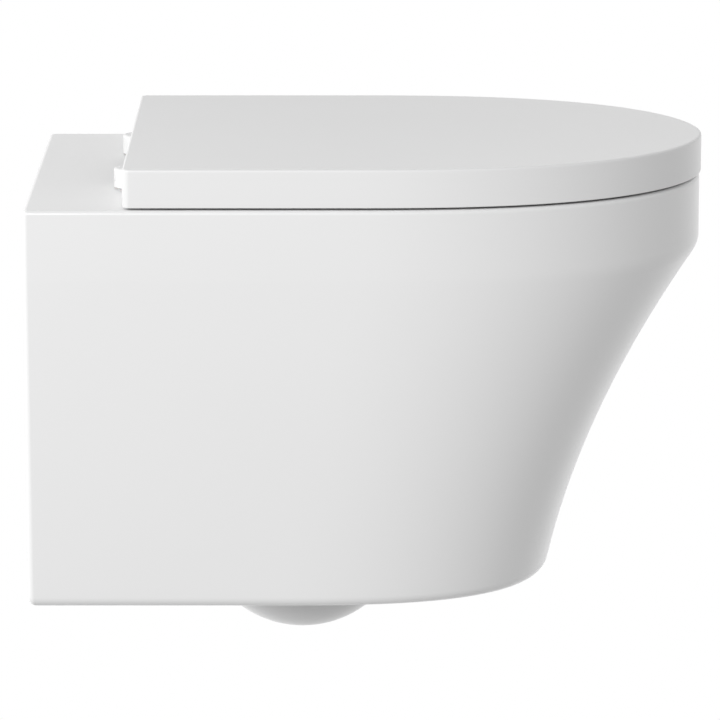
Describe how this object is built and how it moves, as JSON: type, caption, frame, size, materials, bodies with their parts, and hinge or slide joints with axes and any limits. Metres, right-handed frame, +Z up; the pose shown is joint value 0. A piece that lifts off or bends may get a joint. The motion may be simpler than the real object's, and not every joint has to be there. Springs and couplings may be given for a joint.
{
  "type": "wall hung toilet",
  "caption": "Wall hung toilet: open-bottomed ceramic pan with bowl, trap and waste spigot, wall fixings, plug-on hinges, seat ring and wrap-over lid.",
  "frame": {"origin": "on the wall, midway between the two wall studs", "axes": "+X across the pan, -Y out of the wall to the front, +Z up"},
  "size_m": [0.3574, 0.5202, 0.3969],
  "materials": {
    "ceramic_glaze": "white gloss glaze",
    "seat_plastic": "white gloss thermoset",
    "hub_plastic": "white gloss",
    "fixing_plastic": "natural moulded",
    "guard_plastic": "white moulded",
    "damper_plastic": "grey moulded",
    "soft_rubber": "soft translucent grey",
    "fixing_steel": "stainless"
  },
  "bodies": {
    "pan_and_fixings": {"pan": "ceramic_glaze", "fixing_sleeves": "fixing_plastic", "fixing_washers": "fixing_steel", "fixing_nuts": "fixing_steel", "flush_deflector": "guard_plastic", "hinge_gaskets": "soft_rubber", "hinge_bolts": "fixing_steel", "hinge_bushes": "fixing_plastic", "hinge_washers": "fixing_plastic", "hinge_wing_nuts": "fixing_plastic"},
    "hinge_carrier": {"hinge_hub_left": "hub_plastic", "hinge_hub_right": "hub_plastic", "hinge_pin_left": "fixing_steel", "hinge_pin_right": "fixing_steel"},
    "seat": {"seat_ring": "seat_plastic", "seat_buffers": "soft_rubber", "seat_damper": "damper_plastic"},
    "lid": {"lid": "seat_plastic", "lid_buffers": "soft_rubber", "lid_damper": "damper_plastic"}
  },
  "joints": [
    {"name": "seat_lift_off", "type": "slide", "parent": "pan_and_fixings", "child": "hinge_carrier", "axis": [0, 0, 1], "range_m": [0, 0.04]},
    {"name": "lid_hinge", "type": "hinge", "parent": "hinge_carrier", "child": "lid", "pos_m": [0, -0.078, 0.09], "axis": [-1, 0, 0], "range_deg": [0, 97]},
    {"name": "seat_hinge", "type": "hinge", "parent": "hinge_carrier", "child": "seat", "pos_m": [0, -0.078, 0.09], "axis": [-1, 0, 0], "range_deg": [0, 93.2]}
  ],
  "couplings": [
    {"joint": "seat_hinge", "follows": "lid_hinge", "ratio": 0.96}
  ]
}
